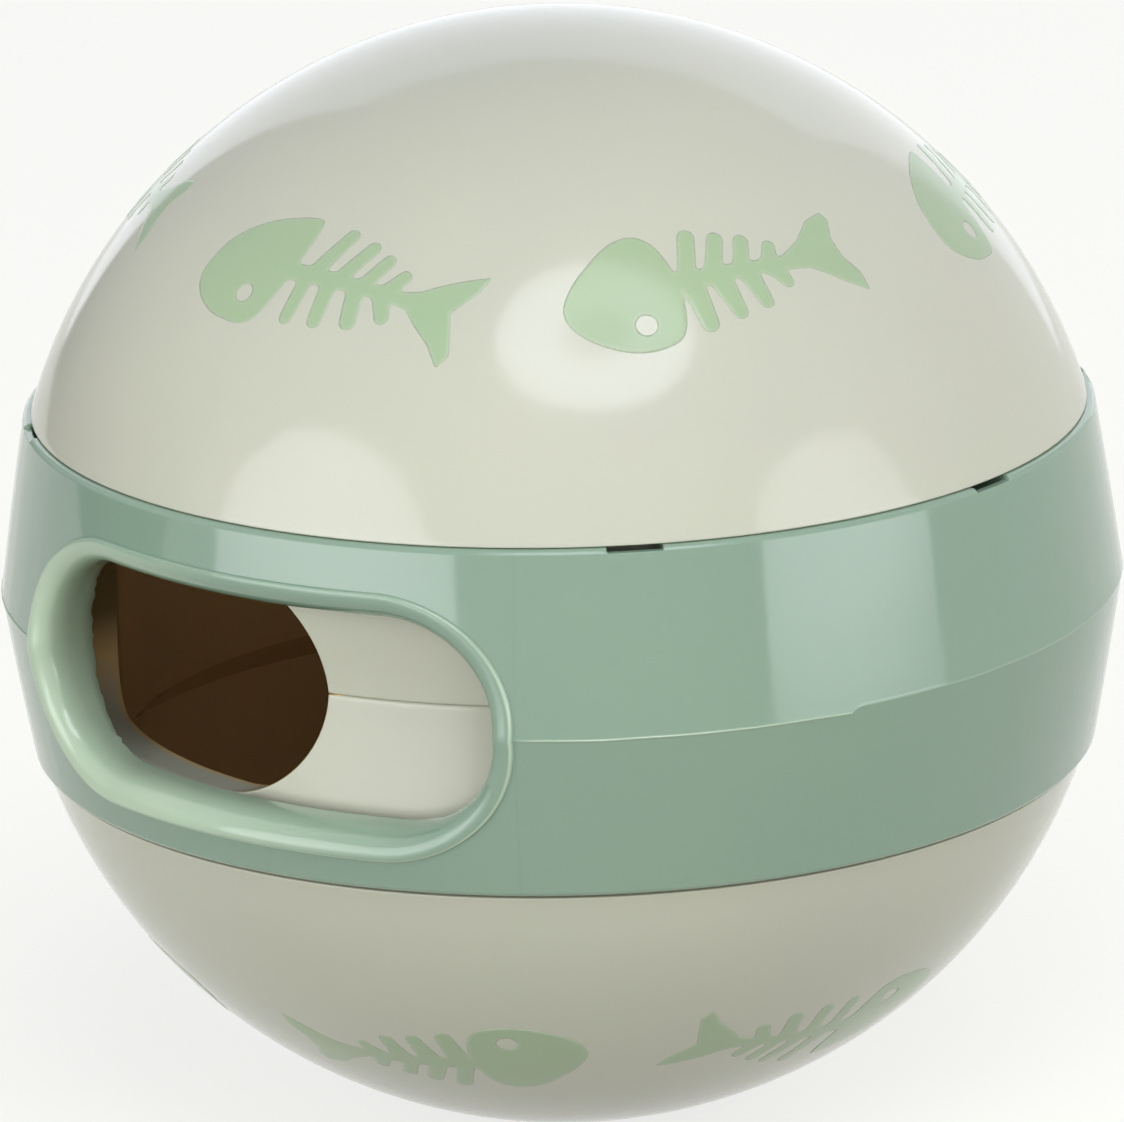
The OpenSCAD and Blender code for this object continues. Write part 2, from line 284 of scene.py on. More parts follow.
def moulded_plastic(name, colour, tinted, ior, gloss=0.1, drift=0.025, seep=(0.16, 1.2), speck_rate=0.0,
                    painted_shadow=None):
    """Glossy plastic: a colour that drifts, gloss that wavers, a faint waviness left by the mould and dark
    specks of dust. Where the piece's tint attribute is 1 the colour is the tinted one, and at 2 the third,
    darker colour, a painted shadow, where one is given. On the cream the tinted colour is a brown painted
    shade, and on the sage a paler colour that is partly painted light. Seep is the share of light that goes
    through the plastic under its surface, and how far it goes in millimetres."""
    material = bpy.data.materials.new(name)
    material.use_nodes = True
    tree = material.node_tree
    shader = tree.nodes["Principled BSDF"]
    shader.inputs["IOR"].default_value = ior
    shader.inputs["Subsurface Weight"].default_value = seep[0]
    shader.inputs["Subsurface Radius"].default_value = SEEP_COLOUR
    shader.inputs["Subsurface Scale"].default_value = seep[1] * MM
    where = tree.nodes.new("ShaderNodeTexCoord").outputs["Object"]

    attribute = tree.nodes.new("ShaderNodeAttribute")
    attribute.attribute_name = "tint"
    tint = attribute.outputs["Fac"]
    base = mixed(tree, tint, colour, tinted)
    if painted_shadow:
        base = mixed(tree, maths(tree, "SUBTRACT", tint, 1), base, painted_shadow)
    cloudy = add(tree, "ShaderNodeCombineColor", **{
        channel: noise(tree, where, scale, 3, 1 - drift, 1 + drift) for channel, scale in COLOUR_PATCHES})
    base = mixed(tree, 1, base, cloudy.outputs["Color"], "MULTIPLY")
    if speck_rate:
        base = specked(tree, where, base, speck_rate)
    wave = add(tree, "ShaderNodeBump", Strength=WAVE_STRENGTH, Distance=WAVE_HEIGHT * MM,
               Height=noise(tree, where, WAVES, 1, 0, 1))
    grain = add(tree, "ShaderNodeBump", Strength=GRAIN_STRENGTH, Distance=GRAIN_HEIGHT * MM,
                Height=noise(tree, where, GRAINS, 2, 0, 1), Normal=wave.outputs["Normal"])
    feed(tree, base, shader.inputs["Base Color"])
    feed(tree, noise(tree, where, GLOSS_PATCHES, 4, gloss * GLOSS_RANGE[0], gloss * GLOSS_RANGE[1]),
         shader.inputs["Roughness"])
    feed(tree, grain.outputs["Normal"], shader.inputs["Normal"])
    return material


cream = moulded_plastic("cream_plastic", CREAM, CREAM_INSIDE_PAINTED_SHADE, ior=1.58, speck_rate=0.12, painted_shadow=CREAM_PAINTED_SHADOW)
sage = moulded_plastic("sage_plastic", SAGE, SAGE_FLASH_AND_PAINTED_LIGHT, ior=1.66, gloss=0.08, seep=(0.3, 1.5))
pale_green = moulded_plastic("pale_green_plastic", PALE_GREEN, CREAM, ior=1.45, gloss=0.14, drift=0.05)
print("finishes:", cream.name, sage.name, pale_green.name)

# %% [markdown]
# ## A ring with half a racetrack cut into its edge
# Both collars have half of the treat hole cut into their seam edge, and both halves of the band have half
# of the window cut into theirs. The hole's walls are parallel to its own axis and not to the ball's
# radius. So each column that starts on the cut is given by its point on the racetrack, and its turn round
# the ball depends on the radius.

# %% Columns of such a ring


class Columns:
    """Columns of a ring: first the points along the cut, from its right end over the top to its left end,
    each with the direction away from the hole; then the columns round the back, as shares of the way to
    the right end."""

    def __init__(self, length, height, arc_steps, flat_steps, shares):
        end, straight = height / 2, (length - height) / 2
        turn = np.linspace(0, np.pi / 2, arc_steps + 1)
        flat = np.linspace(straight, -straight, flat_steps + 1)[1:-1]
        self.x = np.concatenate([straight + end * np.cos(turn), flat, -straight - end * np.cos(turn[::-1])])
        self.z = np.concatenate([end * np.sin(turn), np.full(len(flat), end), end * np.sin(turn[::-1])])
        self.nx = np.concatenate([np.cos(turn), 0 * flat, -np.cos(turn[::-1])])
        self.nz = np.concatenate([np.sin(turn), 0 * flat + 1, np.sin(turn[::-1])])
        self.half, self.shares, self.cut = length / 2, np.asarray(shares), len(self.x)

    def turn(self, r, offset):
        """Turn of each column at a radius, where it starts at an offset from the cut."""
        r = np.broadcast_to(r, self.cut + len(self.shares))
        over_cut = np.arcsin((self.x + self.nx * offset) / r[:self.cut])
        end = np.arcsin((self.half + offset) / r[self.cut:])
        return np.concatenate([over_cut, -end - (2 * np.pi - 2 * end) * self.shares])

    def foot(self, offset, edge=0.0):
        """Height of each column's foot at an offset from the cut; away from the cut the foot rises with
        the offset past the ring's own edge."""
        over_cut = np.maximum(self.z + self.nz * offset, offset - edge)
        return np.concatenate([over_cut, np.full(len(self.shares), offset - edge)])


print("columns: ready")

# %% [markdown]
# ## Half shells
# Each half is a dome, a shoulder that the band runs against, and a collar. Half of the collar carries a
# thin tongue that enters a rebate in the other half. One moulding is worked out as the upper half; the
# lower half is the same mesh turned over about the hole's axis, which is how the real halves fit each
# other.

# %% The half shell's surface
EDGE = 0.16
DOME_EDGE = 0.15
LOWER_GROOVE = 0.16
POLE_STEPS = 26
SIDE_STEPS = 58
DOME_NEAR_EDGE = 0.6
HOLE_ARC_STEPS = 26
HOLE_FLAT_STEPS = 12
COLLAR_SHARES = (0.03, 0.12, 0.35, 0.65, 0.88, 0.97, 1)
EDGE_ROLLS = np.radians([22.5, 45, 67.5, 90])
BORE_SHARES = (0.25, 0.6, 1)
DEEPEST_TINT = 2
HOLE_END_SHADOW_RATE = 3


def collar_r(z):
    """Outer radius of the collar at a height: it grows evenly from the seam to the shoulder."""
    return COLLAR_SEAM_R + COLLAR_TAPER * z / SHOULDER_Z


def dome_arc(radius, low_angle, steps):
    """Points (r, z) on a dome of a radius, from its pole down to an angle above the dome's middle."""
    angle = np.linspace(np.pi / 2, low_angle, steps)
    return np.stack([radius * np.cos(angle), DOME_LIFT + radius * np.sin(angle)], axis=-1)


def half_shell(groove=0.0):
    """The dome, shoulder and collar as one closed surface: down the outside, round the edge of the hole or
    seam, through the wall with its rebate on the side of -X, and up the inside. The tint is 0 on the outside
    and 1 inside, where a brown painted shade stands for the dim light inside the ball, and up to 2 at both
    ends of the hole, where a darker painted shadow stands for the shade that falls on them."""
    shares = np.linspace(0, 1, 2 * SIDE_STEPS + 1)[1:-1]
    back = SIDE_STEPS - 1
    shares = np.insert(shares, back, shares[back])
    columns = Columns(HOLE_LENGTH, HOLE_HEIGHT, HOLE_ARC_STEPS, HOLE_FLAT_STEPS, shares)
    left = np.concatenate([columns.x < 0, np.arange(len(columns.shares)) <= back])
    count = len(left)

    edge_angle = math.asin((SHOULDER_Z - DOME_LIFT) / DOME_R)
    near_edge = edge_angle + DOME_NEAR_EDGE / DOME_R
    outside = np.concatenate([
        dome_arc(DOME_R, near_edge, POLE_STEPS),
        rounded([(*dome_arc(DOME_R, near_edge, 2)[1], 0), (DOME_EDGE_R, SHOULDER_Z + groove, DOME_EDGE),
                 (COLLAR_TOP_R, SHOULDER_Z, EDGE), (COLLAR_TOP_R, SHOULDER_Z - 1, 0)])[1:-1]])
    foot = columns.foot(EDGE)
    outer_turn = columns.turn(collar_r(foot), EDGE)
    rows = [place(outer_turn, r, np.full(count, z)) for r, z in outside]
    for share in COLLAR_SHARES:
        z = SHOULDER_Z - EDGE + (foot - SHOULDER_Z + EDGE) * share
        rows.append(place(outer_turn, collar_r(z), z))
    for roll in EDGE_ROLLS:
        offset, sink = EDGE * (1 - math.sin(roll)), EDGE * (1 - math.cos(roll))
        z = columns.foot(offset)
        rows.append(place(columns.turn(collar_r(z) - sink, offset), collar_r(z) - sink, z))
    # Painted shadow at both ends of the hole: the tint rises to 2 at the hole's ends, and the last rows of
    # the edge's roll take it on the side of -X.
    shade = np.zeros(count)
    shade[:columns.cut] = np.clip(HOLE_END_SHADOW_RATE * (1 - columns.z / (HOLE_HEIGHT / 2)), 0, DEEPEST_TINT)
    tints = [np.zeros(count)] * (len(rows) - 3) + [np.where(left, shade, 0)] * 3

    wall = columns.foot(0)
    rows.append(place(columns.turn(collar_r(wall) - 2 * EDGE, 0), collar_r(wall) - 2 * EDGE, wall))
    rebated = left & (wall < REBATE_DEPTH)
    ceiling = np.where(rebated, REBATE_DEPTH, wall)
    middle = np.where(rebated, REBATE_R, (REBATE_R + BORE_R) / 2)
    for r, z in ((np.full(count, REBATE_R), wall), (middle, ceiling), (np.full(count, BORE_R), ceiling)):
        rows.append(place(columns.turn(r, 0), r, z))
    # The wall's rows take the painted shadow of the hole's ends, and the rows that follow at least the brown
    # painted shade of the inside.
    tints += [shade, shade, shade] + [np.maximum(shade, 1)] * 2

    slope_z = SHOULDER_Z + SLOPE_RISE
    inner_turn = columns.turn(BORE_R, 0)
    for share in BORE_SHARES:
        rows.append(place(inner_turn, BORE_R, ceiling + (slope_z - ceiling) * share))
    inner_dome = DOME_R - DOME_WALL
    slope_foot = slope_z - DOME_LIFT
    less = slope_foot - BORE_R
    run = less / 2 + math.sqrt(inner_dome ** 2 / 2 - less ** 2 / 4) - slope_foot
    slope_end = math.atan2(slope_foot + run, BORE_R + run)
    inside = dome_arc(inner_dome, slope_end, POLE_STEPS)[::-1]
    rows += [place(inner_turn, r, np.full(count, z)) for r, z in inside]

    # All the other inside rows are the brown painted shade.
    tints += [np.ones(count)] * (len(rows) - len(tints))
    return np.stack(rows).reshape(-1, 3), grid_faces(len(rows), count, wrap=True), np.concatenate(tints)


# %% The tongue
TONGUE_ROOT = 0.4
TONGUE_STEPS = 60
TIP_CHAMFER = 0.2


def tongue():
    """A half-round strip below the seam on the side of +X, with a snap bead near its tip: a closed outline in
    radius and height, carried from the hole's wall to the back. Its front end follows the racetrack of the
    hole. The tint is 1 on its inner face, the brown painted shade, 0 on its outer face, and 2 at the hole,
    the darker painted shadow."""
    bead = TONGUE_REACH - BEAD_INSET
    outline = np.array([
        (BORE_R, 0), (BORE_R, -TONGUE_REACH + TIP_CHAMFER), (BORE_R + 0.15, -TONGUE_REACH),
        (TONGUE_R - TIP_CHAMFER, -TONGUE_REACH), (TONGUE_R, -TONGUE_REACH + 0.25),
        (TONGUE_R, -bead - BEAD_WIDTH / 2), (TONGUE_R + BEAD_RISE, -bead - BEAD_WIDTH / 4),
        (TONGUE_R + BEAD_RISE, -bead + BEAD_WIDTH / 4), (TONGUE_R, -bead + BEAD_WIDTH / 2), (TONGUE_R, 0),
        (TONGUE_R - TIP_CHAMFER, TONGUE_ROOT), (BORE_R + TIP_CHAMFER, TONGUE_ROOT)])
    r, z = outline.T
    end = HOLE_HEIGHT / 2
    start = (HOLE_LENGTH - HOLE_HEIGHT) / 2 + np.sqrt(end ** 2 - z ** 2) + np.where(z > 0, EDGE, 0)
    first = np.arcsin(start / r)
    last = np.pi - np.arcsin(LAP_END_GAP / r)
    share = np.linspace(0, 1, TONGUE_STEPS + 1)[:, None]
    points = place(first + (last - first) * share, r, z)
    count = len(outline)
    faces = grid_faces(TONGUE_STEPS + 1, count, wrap=True)
    caps = [list(range(count)), list(range(TONGUE_STEPS * count, (TONGUE_STEPS + 1) * count))[::-1]]
    tint = np.tile((r < (BORE_R + TONGUE_R) / 2).astype(float), (TONGUE_STEPS + 1, 1))
    # The end at the hole takes the darker painted shadow.
    tint[0] = DEEPEST_TINT
    return points.reshape(-1, 3), faces.tolist() + caps, tint.ravel()


def turned_over(part):
    """The same part turned half a turn about the hole's axis, Y."""
    return (part[0] * np.array([-1, 1, -1]), *part[1:])


# %% Make both half shells
upper_shell = make_piece("upper_shell_surface", [half_shell(), tongue()], cream)
lower_parts = [turned_over(part) for part in (half_shell(LOWER_GROOVE), tongue())]
lower_shell = make_piece("lower_shell_surface", lower_parts, cream)
for piece, node in ((upper_shell, "upper_shell"), (lower_shell, "lower_shell")):
    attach(piece, node)
    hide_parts(node)

# %% [markdown]
# ## The band
# The band's outside swells to a parting line, where the two halves of its mould met, and a hair of
# plastic crept into that joint. The same line runs round the window's rim, because the window was closed
# by a slide. The rim is a profile with a quarter ellipse that is carried round the racetrack, and it
# rolls in to a wall that reaches the collars.

# %% The band's outside
PARTING_LIFT = 0.3
SLIDE_HALF_TURN = math.radians(65.7)
LIFT_RUN = math.radians(0.9)
PARTING_WANDER = 0.025
FLASH_RISE = 0.06
FLASH_WIDTH = 0.09
FAINT_FLASH = 0.3
BAND_EDGE = 0.3
TOP_GAP = 0.03
FOOT_GAP = 0.06
NOTCH_WELL = 1.6
WINDOW_ARC_STEPS = 30
WINDOW_FLAT_STEPS = 24
BAND_SHARES = (0, 0.01, 0.06, 0.15, 0.27, 0.4, 0.55, 0.7, 0.83, 0.93, 0.985, 1)
BAND_EDGE_SHARES = (0.04, 0.2, 0.4, 0.6, 0.8, 1)
COLUMN_STEP = 3
CLEAR_OF_SIDES = 0.6


def parting_z(turn):
    """Height of the parting line at a turn from the window's middle: it steps up where the window's slide
    ends."""
    past = np.clip((np.abs(np.arctan2(np.sin(turn), np.cos(turn))) - SLIDE_HALF_TURN) / LIFT_RUN, 0, 1)
    wander = np.sin(19 * turn + 1) * np.sin(7 * turn) + 0.5 * np.sin(43 * turn)
    return -PARTING_DROP + PARTING_LIFT * past + PARTING_WANDER * wander


def band_r(z, parting=-PARTING_DROP):
    """Outer radius of the band at a height: largest at the parting line, and less by a straight draft and
    a square of the distance from it, until both edges have the same radius."""
    span = np.where(z > parting, BAND_HALF - parting, BAND_HALF + parting)
    share = np.abs(z - parting) / span
    return BAND_MID_R - BAND_SWELL * (BAND_KINK * share + (1 - BAND_KINK) * share ** 2)


# %% Turns of the columns round the band, with pairs of columns at the sides of each notch
NOTCH_SIDE = 0.12
WINDOW_END = math.asin((WINDOW_LENGTH / 2 + RIM_WIDTH) / BAND_MID_R)


def band_shares():
    """Shares of the way round the back at which the band has columns: every 3 degrees, and close pairs at
    the sides of each notch and at the ends of the window's slide, so that these are steep."""
    end = np.degrees(WINDOW_END)
    regular = end + np.arange(COLUMN_STEP, 360 - 2 * end - 1, COLUMN_STEP)
    centres = NOTCH_PITCH * np.arange(1, NOTCH_PAIRS + 1)
    centres = np.concatenate([centres, 360 - centres])
    half = np.degrees(NOTCH_WIDTH / 2 / (DOME_EDGE_R + BAND_PROUD))
    sides = np.concatenate([centres + side * (half + grow) for side in (-1, 1) for grow in (0, NOTCH_SIDE)])
    slide = np.degrees(SLIDE_HALF_TURN)
    step = np.degrees(LIFT_RUN)
    lifts = np.array([slide, slide + step / 2, slide + step])
    crowded = np.concatenate([sides, lifts, 360 - lifts])
    clear = np.min(np.abs(regular[:, None] - crowded[None, :]), axis=1) > CLEAR_OF_SIDES
    turns = np.sort(np.concatenate([regular[clear], crowded]))
    return (turns - end) / (360 - 2 * end)


def notch_sink(turn):
    """How far the band's upper edge is cut down at a turn from the window's middle: the turn to either
    side is set against the nearest of the notches on that side."""
    pitch = math.radians(NOTCH_PITCH)
    aside = np.abs(np.arctan2(np.sin(turn), np.cos(turn)))
    nearest = np.clip(np.round(aside / pitch), 1, NOTCH_PAIRS)
    half = NOTCH_WIDTH / 2 / (DOME_EDGE_R + BAND_PROUD)
    inside = np.abs(aside - nearest * pitch) < half + math.radians(NOTCH_SIDE / 2)
    return np.where(inside, NOTCH_DEPTH, 0)


def band_half(side):
    """One half of the band, above or below the parting line (side 1 or -1): up the outside from the rim's
    foot or the parting line, round the edge, down the lip and the inner wall. Worked out as if the window
    faced -Y."""
    columns = Columns(WINDOW_LENGTH, WINDOW_HEIGHT, WINDOW_ARC_STEPS, WINDOW_FLAT_STEPS, band_shares())
    flat_turn = columns.turn(BAND_MID_R, RIM_WIDTH)
    on_cut = np.arange(len(flat_turn)) < columns.cut
    parting = np.where(on_cut, -PARTING_DROP, parting_z(flat_turn))
    in_slide = np.abs(np.arctan2(np.sin(flat_turn), np.cos(flat_turn))) <= SLIDE_HALF_TURN
    strength = np.where(in_slide, 1, FAINT_FLASH)
    sink = notch_sink(flat_turn) if side > 0 else 0 * flat_turn
    well = NOTCH_WELL * sink / NOTCH_DEPTH
    top = SHOULDER_Z - (TOP_GAP if side > 0 else FOOT_GAP) - side * parting

    rows, tints = [], []

    def add_row(turn, r, height, tint=0.0):
        rows.append(place(turn, r, parting + side * height))
        tints.append(np.broadcast_to(tint, len(flat_turn)))

    def outer_r(height):
        return band_r(parting + side * height, parting)

    foot = columns.foot(RIM_WIDTH, RIM_WIDTH)
    ridge = np.where(on_cut, 0, strength)
    add_row(columns.turn(outer_r(foot), RIM_WIDTH), outer_r(foot) + FLASH_RISE * ridge, foot, ridge)
    foot = columns.foot(RIM_WIDTH + FLASH_WIDTH, RIM_WIDTH)
    turn = columns.turn(outer_r(foot), RIM_WIDTH + FLASH_WIDTH)
    for share in BAND_SHARES:
        height = foot + (top - BAND_EDGE - foot) * share
        add_row(turn, outer_r(height), height)
    edge_r = outer_r(top - BAND_EDGE)
    for s in BAND_EDGE_SHARES:
        add_row(turn, edge_r - BAND_EDGE * s ** 1.5, np.minimum(top - BAND_EDGE * (1 - s) ** 1.2, top - sink))
    inner_edge = edge_r - BAND_EDGE - EDGE
    add_row(turn, inner_edge, top - sink)
    add_row(turn, inner_edge - EDGE, top - well)
    add_row(turn, LIP_R + EDGE, top - well)
    lip = BAND_HALF - LIP_HEIGHT - side * parting
    add_row(turn, LIP_R, np.minimum(top - EDGE, top - well))
    add_row(turn, LIP_R, lip - well)
    add_row(turn, outer_r(lip) - BAND_WALL, lip - well)
    foot = columns.foot(SHROUD_WALL, SHROUD_WALL)
    turn = columns.turn(outer_r(foot) - BAND_WALL, SHROUD_WALL)
    for share in (0.3, 0.65, 1):
        height = lip + (foot - lip) * share
        add_row(turn, outer_r(height) - BAND_WALL, height)
    points = np.stack(rows).reshape(-1, 3)
    return points, grid_faces(len(rows), len(flat_turn), wrap=True), np.concatenate(tints)


# %% The window's rolled rim
RIM_EDGE = 0.15
RIM_LEAN = 0.3
# Rows of the rim's step: how far in from its foot, share of its rise, share of the flash
STEP_ROWS = ((0.02, 0.6, 0.7), (0.06, 0.85, 1), (0.1, 0.96, 0.6))
ROLL_STEPS = 20
SHROUD_EDGE = 0.12
RAGGED_RISE = 0.1
RAGGED_FROM, RAGGED_FADE = 11.0, 2.0


def left_fade(x):
    """0 over most of the window and 1 at its left end."""
    return np.clip((-x - RAGGED_FROM) / RAGGED_FADE, 0, 1)


def ragged(x, z):
    """Rag of trimmed flash along the left end of the shroud's edge: a few unequal waves that fade in to
    the left."""
    waves = np.sin(11.1 * z) * np.sin(4.3 * z + 1) + 0.6 * np.sin(23.3 * z + 0.7) + 0.5 * np.sin(37.9 * z)
    return RAGGED_RISE * left_fade(x) * waves


def flash_strength(x, z):
    """How much paler the rim's outer edge is drawn along the slide's flash: most at the right end and along
    the bottom."""
    return np.clip(0.45 + 0.5 * x / (WINDOW_LENGTH / 2) - 0.45 * z / (WINDOW_HEIGHT / 2), 0.12, 1)


def roll_painted_light(x, z):
    """How much painted light the roll carries, as a paler sage that stands in for light the lamps don't give:
    most at the left end and along the bottom, as in the photograph.
    """
    return np.clip(0.35 - 0.85 * x / (WINDOW_LENGTH / 2) - 0.35 * z / (WINDOW_HEIGHT / 2), 0, 1)


def window_rim():
    """A profile carried round the racetrack: a small step up from the band's surface, whose edge carries
    the slide's flash, then a quarter ellipse that rolls in to the opening, and the two sides of the
    shroud."""
    half = Columns(WINDOW_LENGTH, WINDOW_HEIGHT, WINDOW_ARC_STEPS, WINDOW_FLAT_STEPS, [])
    x = np.concatenate([half.x, half.x[-2:0:-1]])
    z = np.concatenate([half.z, -half.z[-2:0:-1]])
    nx = np.concatenate([half.nx, half.nx[-2:0:-1]])
    nz = np.concatenate([half.nz, -half.nz[-2:0:-1]])
    flash, pale = flash_strength(x, z), roll_painted_light(x, z)
    rise = RIM_RISE + RIM_LEAN * np.clip(-x / (WINDOW_LENGTH / 2), 0, 1) ** 2
    rows, tints = [], []

    def add_row(offset, above=None, depth=None, tint=0.0):
        height = -PARTING_DROP + z + nz * offset
        r = band_r(height) + above if depth is None else depth + 0 * height
        rows.append(place(np.arcsin((x + nx * offset) / r), r, height))
        tints.append(tint + 0 * height)

    add_row(RIM_WIDTH, 0)
    for inward, share, strength in STEP_ROWS:
        add_row(RIM_WIDTH - inward, rise * share, tint=strength * flash)
    # The roll is painted light: a paler sage, most at the left end and along the bottom, stands in for light
    # that the lamps don't give there.
    add_row(RIM_WIDTH - RIM_EDGE, rise, tint=pale / 2)
    for roll in np.linspace(0, np.pi / 2, ROLL_STEPS + 1)[1:]:
        offset = (RIM_WIDTH - RIM_EDGE) * (1 - math.sin(roll))
        add_row(offset, rise - ROLL_DEPTH * (1 - math.cos(roll)), tint=pale)
    shroud = SHROUD_R + ragged(x, z)
    top_r = band_r(-PARTING_DROP + z) + rise - ROLL_DEPTH
    add_row(0, depth=(top_r + shroud) / 2, tint=pale)
    add_row(0, depth=shroud + SHROUD_EDGE, tint=pale)
    # The ragged left end of the shroud's edge is drawn in the paler sage.
    add_row(SHROUD_EDGE, depth=shroud, tint=left_fade(x))
    add_row(SHROUD_WALL, depth=shroud)
    add_row(SHROUD_WALL, -BAND_WALL)
    points = np.stack(rows).reshape(-1, 3)
    return points, grid_faces(len(rows), len(x), wrap=True), np.concatenate(tints)


# %% Make the band, turned to its place
def turned(part, degrees):
    """The same part turned round the ball's axis, from -Y towards +X."""
    c, s = math.cos(math.radians(degrees)), math.sin(math.radians(degrees))
    return (part[0] @ np.array([[c, s, 0], [-s, c, 0], [0, 0, 1]]), *part[1:])


band_parts = [turned(part, WINDOW_TURN) for part in (band_half(1), band_half(-1), window_rim())]
band = make_piece("adjusting_band_surface", band_parts, sage)
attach(band, "band")
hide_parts("adjusting_band")

# %% [markdown]
# ## Fish
# A fish skeleton is drawn as a distance: how far each point of a fine grid lies from the nearest bone,
# head or tail, negative inside. Distances join with a soft minimum, which leaves the small fillets that a
# mould has. The triangles of the grid are then clipped where the distance crosses zero, and the sheet is
# laid on the dome.

# %% Outlines of the two fish, in millimetres along and up, head to the left
RISING_HEAD = [(-10.2, 0.2), (-9.4, 2), (-8.2, 3.1), (-6.6, 3.8), (-5, 4.15), (-3.4, 4.3), (-2.5, 4.1),
               (-2.5, 3), (-2.9, 1.3), (-3.3, -0.1), (-3.9, -1.5), (-4.7, -2.75), (-5.7, -3.15), (-7, -2.9),
               (-8.3, -2.4), (-9.6, -1.3)]
RISING_EYE = (-6.1, -1.15, 0.58)
RISING_TAIL = [(4.5, 0.1), (5.9, 0.5), (7, 1.2), (8.3, 1.9), (9.5, 2.45), (9.2, 1.4), (8.6, 0.5), (8, -0.4),
               (8.4, -1.6), (8.8, -3), (8.3, -3.9), (7.4, -2.7), (6.1, -1.6), (5.3, -0.8), (4.5, -0.6)]
# Bones, the spine first: root along, root up, tip along, tip up, root width, tip width
RISING_BONES = [(-3.2, 0.5, 5, -0.25, 1.1, 0.7),
                (-1.5, 0.6, 0, 3.35, 1.1, 0.85), (0.3, 0.3, 1.75, 2.7, 1, 0.85),
                (2, 0, 3.1, 2.05, 1, 0.8), (3.7, 0, 4.5, 1.2, 1, 0.8),
                (-1.9, 0.3, -2.35, -2.55, 1, 0.85), (-0.2, 0, -0.3, -2.55, 1.1, 0.9),
                (1.7, -0.2, 1.95, -2.3, 1.1, 1), (3.5, -0.3, 4, -1.65, 1.1, 0.85)]
DIVING_HEAD = [(-9.75, 0.3), (-8.9, 1.6), (-7.7, 2.7), (-6.2, 3.75), (-4.9, 4.1), (-4, 3.8), (-3.3, 2.9),
               (-2.8, 1.2), (-2.7, -0.3), (-2.9, -2), (-3.5, -3.1), (-4.7, -3.5), (-5.9, -3.5), (-7.2, -3.1),
               (-8.6, -2.2), (-9.6, -1)]
DIVING_EYE = (-5.35, -1.85, 0.65)
DIVING_TAIL = [(4.3, 1.3), (5.9, 2.5), (7, 3.9), (8.2, 4.5), (8.6, 4), (8.3, 2.6), (8.7, 1.3), (9.6, 0.3),
               (9.9, -0.9), (8.4, -0.4), (7.2, 0.2), (6.2, 0.6), (4.9, 0.6), (4.3, 0.7)]
DIVING_BONES = [(-3, 0.5, 4.9, 1.05, 1.1, 0.7),
                (-2.1, 0.6, -1.25, 3.45, 1.1, 1), (-0.4, 0.6, 0.5, 3.05, 1.1, 0.95),
                (1.5, 0.7, 2.1, 2.7, 1, 0.9), (3.4, 0.8, 3.8, 2.2, 1, 0.8),
                (-1.9, 0.4, -1.5, -2.45, 1.5, 1.05), (0, 0.4, 0.6, -1.95, 1.5, 0.9),
                (1.9, 0.5, 2.5, -1.45, 1.3, 0.85), (3.6, 0.9, 4.3, -0.25, 1.3, 0.75)]
RISING_FISH = (RISING_HEAD, RISING_EYE, RISING_BONES, RISING_TAIL)
DIVING_FISH = (DIVING_HEAD, DIVING_EYE, DIVING_BONES, DIVING_TAIL)

# %% Distances
FILLET = 0.3
FISH_GROWTH = 0.05


def smooth_outline(corners, steps=5):
    """A closed curve through the corners that passes each of them in line with its neighbours."""
    b = np.array(corners, float)[:, None, :]
    a, c, d = np.roll(b, 1, axis=0), np.roll(b, -1, axis=0), np.roll(b, -2, axis=0)
    t = np.linspace(0, 1, steps + 1)[:-1][None, :, None]
    curve = (b + t / 2 * (c - a) + t ** 2 * (a - 2.5 * b + 2 * c - d / 2)
             + t ** 3 / 2 * (3 * b - a - 3 * c + d))
    return curve.reshape(-1, 2)


def outline_distance(points, corners):
    """Distance to the nearest side of a closed outline, negative where a line to the right crosses it an
    odd number of times."""
    a = np.asarray(corners, float)[:, None, :]
    b = np.roll(a, -1, axis=0)
    side, to_point = b - a, points[None] - a
    along = np.clip(np.sum(to_point * side, -1) / np.sum(side * side, -1), 0, 1)
    distance = np.linalg.norm(to_point - side * along[..., None], axis=-1).min(axis=0)
    level = (a[..., 1] > points[None, :, 1]) != (b[..., 1] > points[None, :, 1])
    rise = np.where(side[..., 1] == 0, 1, side[..., 1])
    reach = a[..., 0] + to_point[..., 1] * side[..., 0] / rise
    inside = (level & (points[None, :, 0] < reach)).sum(axis=0) % 2 == 1
    return np.where(inside, -distance, distance)


def bone_distance(points, bone):
    """Distance to a bar between two points whose width tapers evenly, with round ends."""
    root, tip = np.array(bone[:2]), np.array(bone[2:4])
    run = tip - root
    along = np.clip((points - root) @ run / (run @ run), 0, 1)
    width = bone[4] + (bone[5] - bone[4]) * along
    return np.linalg.norm(points - root - along[:, None] * run, axis=1) - width / 2


def soft_minimum(a, b):
    """The lesser of two distances, rounded off where they are nearly equal."""
    near = np.maximum(FILLET - np.abs(a - b), 0) / FILLET
    return np.minimum(a, b) - near ** 2 * FILLET / 4


def fish_distance(points, fish):
    """Distance to the whole skeleton, which has flowed a hair past its drawing, with the eye left
    open."""
    head, eye, bones, tail = fish
    distance = soft_minimum(outline_distance(points, smooth_outline(head)), outline_distance(points, tail))
    for bone in bones:
        distance = soft_minimum(distance, bone_distance(points, bone))
    return np.maximum(distance - FISH_GROWTH, eye[2] - np.linalg.norm(points - np.array(eye[:2]), axis=1))


# %% Clip the grid to the fish
CELL = 0.16
FISH_REACH = (11.0, 5.2)


